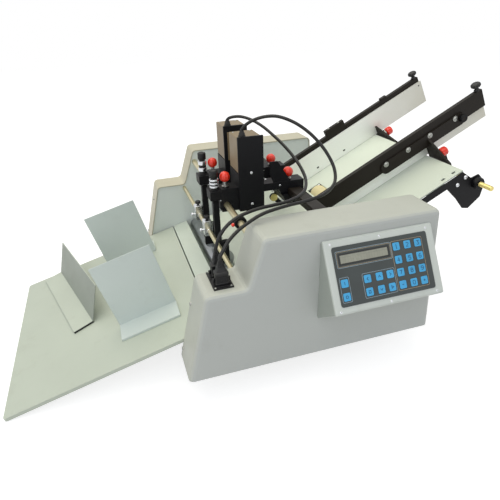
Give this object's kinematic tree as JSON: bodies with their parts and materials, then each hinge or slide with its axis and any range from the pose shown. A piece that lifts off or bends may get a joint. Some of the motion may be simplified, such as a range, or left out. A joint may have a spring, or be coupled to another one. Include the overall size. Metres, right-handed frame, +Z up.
{
  "type": "scoring and perforating machine",
  "caption": "Desktop sheet scoring and perforating machine: sloping feed table with side guides, heads with round blades on cross rods, keypad side cover and delivery tray.",
  "frame": {"origin": "on the surface that the machine stands on, under the middle of its footprint", "axes": "+X along the feed, from the delivery tray to the feed table; +Y across the machine, away from the keypad; +Z up"},
  "size_m": [1.0174, 0.6681, 0.4677],
  "materials": {
    "cover_paint": "satin",
    "frame_paint": "satin",
    "tray_paint": "satin",
    "plate_steel": "satin",
    "table_paint": "satin",
    "aluminium": "satin",
    "zinc_steel": "satin",
    "steel": "satin",
    "bright_steel": "polished",
    "brass": "satin",
    "black_paint": "satin",
    "brown_paint": "satin",
    "coil_tan": "satin",
    "black_rubber": "matt",
    "feed_rubber": "matt",
    "black_plastic": "matt",
    "red_plastic": "gloss",
    "keypad": "satin"
  },
  "bodies": {
    "chassis": {"base_pan": "frame_paint", "foot_near_tray_end": "black_rubber", "foot_near_feed_end": "black_rubber", "foot_far_tray_end": "black_rubber", "foot_far_feed_end": "black_rubber", "near_cover": "cover_paint", "far_cover": "cover_paint", "near_frame": "frame_paint", "far_frame": "frame_paint", "exit_rod": "zinc_steel", "head_rod": "zinc_steel", "head_rail": "brown_paint", "drive_motor": "black_paint", "drive_belt": "black_rubber", "feed_table": "table_paint", "register_bracket": "black_paint", "control_box": "cover_paint", "keypad_overlay": "keypad", "socket_plate": "black_plastic", "front_plug": "black_plastic", "rear_plug": "black_plastic", "front_lead": "black_rubber", "rear_lead": "black_rubber", "power_inlet": "black_plastic"},
    "tray": {"delivery_tray": "tray_paint"},
    "tray_guide_front": {"tray_guide_front": "plate_steel"},
    "tray_guide_rear": {"tray_guide_rear": "plate_steel"},
    "end_stop": {"end_stop": "plate_steel"},
    "anvil": {"anvil_roller": "steel"},
    "exit_roller": {"exit_roller": "steel"},
    "feed_roller": {"feed_shaft": "steel", "feed_wheel": "feed_rubber"},
    "motor_pulley": {"motor_pulley": "steel"},
    "near_guide": {"near_guide_plate": "aluminium", "near_guide_bar": "brown_paint"},
    "far_guide": {"far_guide_plate": "aluminium", "far_guide_bar": "brown_paint"},
    "near_guide_lock_knob": {"near_guide_lock_knob": "red_plastic"},
    "far_guide_lock_knob": {"far_guide_lock_knob": "red_plastic"},
    "near_guide_end_knob": {"near_guide_end_knob": "black_plastic"},
    "far_guide_end_knob": {"far_guide_end_knob": "black_plastic"},
    "guide_screw_rod": {"guide_screw_rod": "brass"},
    "feed_gate": {"feed_gate": "black_paint"},
    "rocker_switch": {"rocker_switch": "black_plastic"},
    "front_head": {"front_head": "black_paint", "front_coil_box": "coil_tan"},
    "front_left_lock_knob": {"front_left_lock_knob": "red_plastic"},
    "front_right_lock_knob": {"front_right_lock_knob": "red_plastic"},
    "front_depth_screw": {"front_depth_screw": "bright_steel"},
    "front_blade_holder": {"front_blade_holder": "black_paint"},
    "front_blade": {"front_blade": "steel"},
    "front_rod_clamp": {"front_rod_clamp": "bright_steel"},
    "rear_head": {"rear_head": "black_paint", "rear_coil_box": "coil_tan"},
    "rear_left_lock_knob": {"rear_left_lock_knob": "red_plastic"},
    "rear_right_lock_knob": {"rear_right_lock_knob": "red_plastic"},
    "rear_depth_screw": {"rear_depth_screw": "bright_steel"},
    "rear_blade_holder": {"rear_blade_holder": "black_paint"},
    "rear_blade": {"rear_blade": "steel"},
    "rear_rod_clamp": {"rear_rod_clamp": "bright_steel"}
  },
  "joints": [
    {"name": "tray_hinge", "type": "hinge", "parent": "chassis", "child": "tray", "pos_m": [-0.14414, 0.0279, 0.09474], "axis": [0, 1, 0], "range_deg": [0, 20]},
    {"name": "tray_guide_front_slide", "type": "slide", "parent": "tray", "child": "tray_guide_front", "axis": [0, 1, 0], "range_m": [-0.05, 0.05]},
    {"name": "tray_guide_rear_slide", "type": "slide", "parent": "tray", "child": "tray_guide_rear", "axis": [0, 1, 0], "range_m": [-0.07, 0.035]},
    {"name": "end_stop_slide", "type": "slide", "parent": "tray", "child": "end_stop", "axis": [0.9659, 0, 0.2588], "range_m": [-0.04, 0.03]},
    {"name": "motor_spin", "type": "hinge", "parent": "chassis", "child": "motor_pulley", "pos_m": [0.1524, -0.221, 0.086], "axis": [0, 1, 0], "continuous": true},
    {"name": "anvil_spin", "type": "hinge", "parent": "chassis", "child": "anvil", "pos_m": [-0.0676, 0.0279, 0.106], "axis": [0, 1, 0], "continuous": true},
    {"name": "exit_roller_spin", "type": "hinge", "parent": "chassis", "child": "exit_roller", "pos_m": [-0.1156, 0.0279, 0.0975], "axis": [0, 1, 0], "continuous": true},
    {"name": "feed_roller_spin", "type": "hinge", "parent": "chassis", "child": "feed_roller", "pos_m": [0.19445, 0.0279, 0.21842], "axis": [0, 1, 0], "continuous": true},
    {"name": "near_guide_slide", "type": "slide", "parent": "chassis", "child": "near_guide", "axis": [0, 1, 0], "range_m": [-0.04, 0.044]},
    {"name": "far_guide_slide", "type": "slide", "parent": "chassis", "child": "far_guide", "axis": [0, 1, 0], "range_m": [-0.05, 0.07]},
    {"name": "near_guide_lock_knob_turn", "type": "hinge", "parent": "near_guide", "child": "near_guide_lock_knob", "pos_m": [0.38012, -0.0969, 0.33378], "axis": [0.891, 0, 0.454], "range_deg": [0, 270]},
    {"name": "near_guide_end_knob_turn", "type": "hinge", "parent": "near_guide", "child": "near_guide_end_knob", "pos_m": [0.46873, -0.07315, 0.44886], "axis": [-0.454, 0, 0.891], "range_deg": [0, 270]},
    {"name": "far_guide_lock_knob_turn", "type": "hinge", "parent": "far_guide", "child": "far_guide_lock_knob", "pos_m": [0.38012, 0.1017, 0.33378], "axis": [0.891, 0, 0.454], "range_deg": [0, 270]},
    {"name": "far_guide_end_knob_turn", "type": "hinge", "parent": "far_guide", "child": "far_guide_end_knob", "pos_m": [0.46873, 0.13795, 0.44886], "axis": [-0.454, 0, 0.891], "range_deg": [0, 270]},
    {"name": "guide_screw_rod_turn", "type": "hinge", "parent": "chassis", "child": "guide_screw_rod", "pos_m": [0.40897, 0.0279, 0.29742], "axis": [0, 1, 0], "range_deg": [-720, 720]},
    {"name": "front_head_slide", "type": "slide", "parent": "chassis", "child": "front_head", "axis": [0, 1, 0], "range_m": [-0.045, 0.015]},
    {"name": "rear_head_slide", "type": "slide", "parent": "chassis", "child": "rear_head", "axis": [0, 1, 0], "range_m": [-0.015, 0.09]},
    {"name": "front_left_lock_knob_turn", "type": "hinge", "parent": "front_head", "child": "front_left_lock_knob", "pos_m": [-0.0571, -0.0351, 0.3063], "axis": [0, 0, 1], "range_deg": [0, 270]},
    {"name": "front_right_lock_knob_turn", "type": "hinge", "parent": "front_head", "child": "front_right_lock_knob", "pos_m": [0.0739, -0.0351, 0.3053], "axis": [0, 0, 1], "range_deg": [0, 270]},
    {"name": "front_depth_screw_turn", "type": "hinge", "parent": "front_head", "child": "front_depth_screw", "pos_m": [-0.0786, -0.0351, 0.303], "axis": [0, 0, 1], "range_deg": [-720, 720]},
    {"name": "front_blade_holder_slide", "type": "slide", "parent": "front_head", "child": "front_blade_holder", "axis": [0, 0, 1], "range_m": [-0.002, 0.002]},
    {"name": "front_blade_spin", "type": "hinge", "parent": "front_blade_holder", "child": "front_blade", "pos_m": [-0.0676, -0.0351, 0.148], "axis": [0, 1, 0], "continuous": true},
    {"name": "front_rod_clamp_slide", "type": "slide", "parent": "chassis", "child": "front_rod_clamp", "axis": [0, 1, 0], "range_m": [-0.12, 0.03]},
    {"name": "rear_left_lock_knob_turn", "type": "hinge", "parent": "rear_head", "child": "rear_left_lock_knob", "pos_m": [-0.0571, 0.0649, 0.3063], "axis": [0, 0, 1], "range_deg": [0, 270]},
    {"name": "rear_right_lock_knob_turn", "type": "hinge", "parent": "rear_head", "child": "rear_right_lock_knob", "pos_m": [0.0739, 0.0649, 0.3053], "axis": [0, 0, 1], "range_deg": [0, 270]},
    {"name": "rear_depth_screw_turn", "type": "hinge", "parent": "rear_head", "child": "rear_depth_screw", "pos_m": [-0.0786, 0.0649, 0.303], "axis": [0, 0, 1], "range_deg": [-720, 720]},
    {"name": "rear_blade_holder_slide", "type": "slide", "parent": "rear_head", "child": "rear_blade_holder", "axis": [0, 0, 1], "range_m": [-0.002, 0.002]},
    {"name": "rear_blade_spin", "type": "hinge", "parent": "rear_blade_holder", "child": "rear_blade", "pos_m": [-0.0676, 0.0649, 0.148], "axis": [0, 1, 0], "continuous": true},
    {"name": "rear_rod_clamp_slide", "type": "slide", "parent": "chassis", "child": "rear_rod_clamp", "axis": [0, 1, 0], "range_m": [-0.03, 0.12]},
    {"name": "feed_gate_slide", "type": "slide", "parent": "chassis", "child": "feed_gate", "axis": [0, 1, 0], "range_m": [-0.03, 0.05]},
    {"name": "rocker_switch_tilt", "type": "hinge", "parent": "chassis", "child": "rocker_switch", "pos_m": [0.26741, -0.2421, 0.133], "axis": [0, 1, 0], "range_deg": [-6, 6]}
  ],
  "couplings": [
    {"joint": "front_depth_screw_turn", "follows": "front_blade_holder_slide", "rad_per_m": 6283},
    {"joint": "rear_depth_screw_turn", "follows": "rear_blade_holder_slide", "rad_per_m": 6283},
    {"joint": "anvil_spin", "follows": "motor_spin", "ratio": 0.48276},
    {"joint": "exit_roller_spin", "follows": "motor_spin", "ratio": 0.83582},
    {"joint": "feed_roller_spin", "follows": "motor_spin", "ratio": 0.31818}
  ]
}
